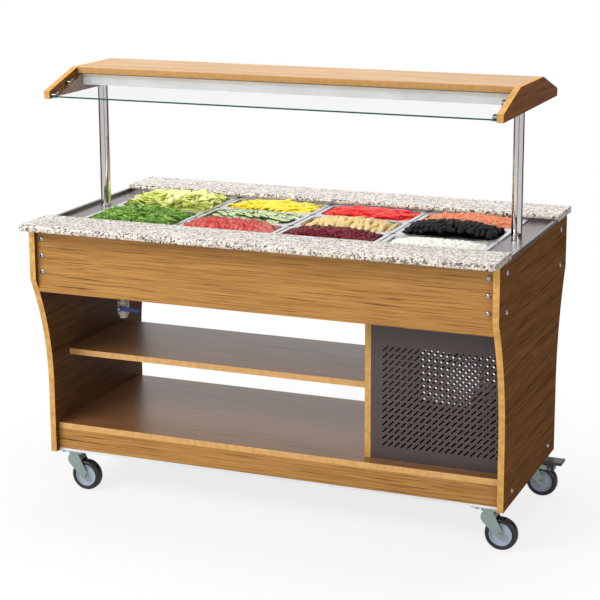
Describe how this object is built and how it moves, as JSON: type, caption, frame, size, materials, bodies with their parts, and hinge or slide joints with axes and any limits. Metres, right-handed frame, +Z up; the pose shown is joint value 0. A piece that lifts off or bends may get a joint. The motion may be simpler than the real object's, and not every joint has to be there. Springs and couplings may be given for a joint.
{
  "type": "mobile salad bar",
  "caption": "Mobile refrigerated salad bar: boarded cabinet on swivel casters, granite-edged well of lift-out food pans, lit canopy with sloping sneeze glass on posts.",
  "frame": {"origin": "on the floor, under the middle of the whole outline with the casters trailing to +X", "axes": "+X along the length to the refrigeration bay at the picture's right, +Y from the customers' front to the rear with the controls, +Z up"},
  "size_m": [1.547, 0.895, 1.354],
  "materials": {
    "wood_panel": "satin lacquer, grain along the length",
    "wood_side": "satin lacquer, lighter edge band",
    "stainless": "brushed",
    "pan_steel": "satin",
    "polished_steel": "polished",
    "zinc_steel": "zinc plated",
    "white_steel": "powder coat",
    "grille_brown": "matt powder coat",
    "black_steel": "semi gloss",
    "copper": "drawn copper",
    "granite": "polished speckled stone, opaque",
    "clear_glass": "clear, green edge",
    "lamp_glass": "opal tube",
    "diffuser_white": "opal sheet",
    "foam": "moulded foam",
    "black_plastic": "fine texture",
    "pipe_plastic": "moulded",
    "fan_metal": "pressed",
    "switch_red": "gloss",
    "lever_blue": "dipped coat",
    "pedal_dark": "moulded",
    "wheel_black": "moulded tyre on a grey hub"
  },
  "bodies": {
    "cabinet": {"side_panel_left": "wood_side", "side_panel_right": "wood_side", "front_panel": "wood_panel", "rear_panel": "wood_panel", "base_deck": "wood_panel", "plinth_boards": "wood_panel", "mid_shelf": "wood_panel", "partition": "wood_panel", "base_channels": "white_steel", "grille_front": "grille_brown", "grille_rear": "grille_brown", "counter_deck": "stainless", "well_tank": "stainless", "well_insulation": "foam", "well_casing": "zinc_steel", "evaporator_coil": "copper", "pan_rails": "stainless", "granite_strips": "granite", "canopy_posts": "polished_steel", "angle_brackets": "zinc_steel", "canopy_board": "wood_panel", "canopy_cheeks": "wood_side", "glass_panes": "clear_glass", "glass_clamps": "polished_steel", "light_housing": "white_steel", "lamp": "lamp_glass", "lamp_diffuser": "diffuser_white", "dome_screws": "polished_steel", "compressor": "black_steel", "condenser_coil": "black_steel", "fan_shroud": "black_steel", "unit_base": "zinc_steel", "controller": "black_plastic", "drain_pipe": "pipe_plastic", "cable_gland": "black_plastic", "caster_plates": "zinc_steel"},
    "swivel_front_left": {"caster_fork_front_left": "zinc_steel"},
    "wheel_front_left": {"wheel_front_left": "wheel_black"},
    "swivel_front_right": {"caster_fork_front_right": "zinc_steel"},
    "wheel_front_right": {"wheel_front_right": "wheel_black"},
    "swivel_rear_left": {"caster_fork_rear_left": "zinc_steel"},
    "wheel_rear_left": {"wheel_rear_left": "wheel_black"},
    "swivel_rear_right": {"caster_fork_rear_right": "zinc_steel"},
    "wheel_rear_right": {"wheel_rear_right": "wheel_black"},
    "pedal_left": {"brake_pedal_left": "pedal_dark"},
    "pedal_right": {"brake_pedal_right": "pedal_dark"},
    "pan_half_front": {"pan_half_front": "pan_steel"},
    "pan_half_rear": {"pan_half_rear": "pan_steel"},
    "pan_third_2_front": {"pan_third_2_front": "pan_steel"},
    "pan_third_2_middle": {"pan_third_2_middle": "pan_steel"},
    "pan_third_2_rear": {"pan_third_2_rear": "pan_steel"},
    "pan_third_3_front": {"pan_third_3_front": "pan_steel"},
    "pan_third_3_middle": {"pan_third_3_middle": "pan_steel"},
    "pan_third_3_rear": {"pan_third_3_rear": "pan_steel"},
    "pan_third_4_front": {"pan_third_4_front": "pan_steel"},
    "pan_third_4_middle": {"pan_third_4_middle": "pan_steel"},
    "pan_third_4_rear": {"pan_third_4_rear": "pan_steel"},
    "fan": {"condenser_fan": "fan_metal"},
    "rocker": {"main_switch": "switch_red"},
    "drain_lever": {"drain_lever": "lever_blue"}
  },
  "joints": [
    {"name": "swivel_front_left", "type": "hinge", "parent": "cabinet", "child": "swivel_front_left", "pos_m": [-0.7115, -0.2405, 0.12], "axis": [0, 0, 1], "continuous": true},
    {"name": "wheel_front_left_roll", "type": "hinge", "parent": "swivel_front_left", "child": "wheel_front_left", "pos_m": [-0.6745, -0.2405, 0.05], "axis": [0, 1, 0], "continuous": true},
    {"name": "swivel_front_right", "type": "hinge", "parent": "cabinet", "child": "swivel_front_right", "pos_m": [0.6685, -0.2405, 0.12], "axis": [0, 0, 1], "continuous": true},
    {"name": "wheel_front_right_roll", "type": "hinge", "parent": "swivel_front_right", "child": "wheel_front_right", "pos_m": [0.7055, -0.2405, 0.05], "axis": [0, 1, 0], "continuous": true},
    {"name": "swivel_rear_left", "type": "hinge", "parent": "cabinet", "child": "swivel_rear_left", "pos_m": [-0.7115, 0.2405, 0.12], "axis": [0, 0, 1], "continuous": true},
    {"name": "wheel_rear_left_roll", "type": "hinge", "parent": "swivel_rear_left", "child": "wheel_rear_left", "pos_m": [-0.6745, 0.2405, 0.05], "axis": [0, 1, 0], "continuous": true},
    {"name": "swivel_rear_right", "type": "hinge", "parent": "cabinet", "child": "swivel_rear_right", "pos_m": [0.6685, 0.2405, 0.12], "axis": [0, 0, 1], "continuous": true},
    {"name": "wheel_rear_right_roll", "type": "hinge", "parent": "swivel_rear_right", "child": "wheel_rear_right", "pos_m": [0.7055, 0.2405, 0.05], "axis": [0, 1, 0], "continuous": true},
    {"name": "brake_pedal_left", "type": "hinge", "parent": "swivel_rear_left", "child": "pedal_left", "pos_m": [-0.6455, 0.2405, 0.098], "axis": [0, 1, 0], "range_deg": [0, 12]},
    {"name": "brake_pedal_right", "type": "hinge", "parent": "swivel_rear_right", "child": "pedal_right", "pos_m": [0.7345, 0.2405, 0.098], "axis": [0, 1, 0], "range_deg": [0, 12]},
    {"name": "lift_pan_half_front", "type": "slide", "parent": "cabinet", "child": "pan_half_front", "axis": [0, 0, 1], "range_m": [0, 0.2]},
    {"name": "lift_pan_half_rear", "type": "slide", "parent": "cabinet", "child": "pan_half_rear", "axis": [0, 0, 1], "range_m": [0, 0.2]},
    {"name": "lift_pan_third_2_front", "type": "slide", "parent": "cabinet", "child": "pan_third_2_front", "axis": [0, 0, 1], "range_m": [0, 0.2]},
    {"name": "lift_pan_third_2_middle", "type": "slide", "parent": "cabinet", "child": "pan_third_2_middle", "axis": [0, 0, 1], "range_m": [0, 0.2]},
    {"name": "lift_pan_third_2_rear", "type": "slide", "parent": "cabinet", "child": "pan_third_2_rear", "axis": [0, 0, 1], "range_m": [0, 0.2]},
    {"name": "lift_pan_third_3_front", "type": "slide", "parent": "cabinet", "child": "pan_third_3_front", "axis": [0, 0, 1], "range_m": [0, 0.2]},
    {"name": "lift_pan_third_3_middle", "type": "slide", "parent": "cabinet", "child": "pan_third_3_middle", "axis": [0, 0, 1], "range_m": [0, 0.2]},
    {"name": "lift_pan_third_3_rear", "type": "slide", "parent": "cabinet", "child": "pan_third_3_rear", "axis": [0, 0, 1], "range_m": [0, 0.2]},
    {"name": "lift_pan_third_4_front", "type": "slide", "parent": "cabinet", "child": "pan_third_4_front", "axis": [0, 0, 1], "range_m": [0, 0.2]},
    {"name": "lift_pan_third_4_middle", "type": "slide", "parent": "cabinet", "child": "pan_third_4_middle", "axis": [0, 0, 1], "range_m": [0, 0.2]},
    {"name": "lift_pan_third_4_rear", "type": "slide", "parent": "cabinet", "child": "pan_third_4_rear", "axis": [0, 0, 1], "range_m": [0, 0.2]},
    {"name": "fan_spin", "type": "hinge", "parent": "cabinet", "child": "fan", "pos_m": [0.47975, -0.097, 0.306], "axis": [0, 1, 0], "continuous": true},
    {"name": "main_switch_rock", "type": "hinge", "parent": "cabinet", "child": "rocker", "pos_m": [0.6015, 0.373, 0.7835], "axis": [1, 0, 0], "range_deg": [0, 16]},
    {"name": "drain_lever_turn", "type": "hinge", "parent": "cabinet", "child": "drain_lever", "pos_m": [-0.6065, -0.12, 0.5778], "axis": [0, 1, 0], "range_deg": [0, 90]}
  ]
}
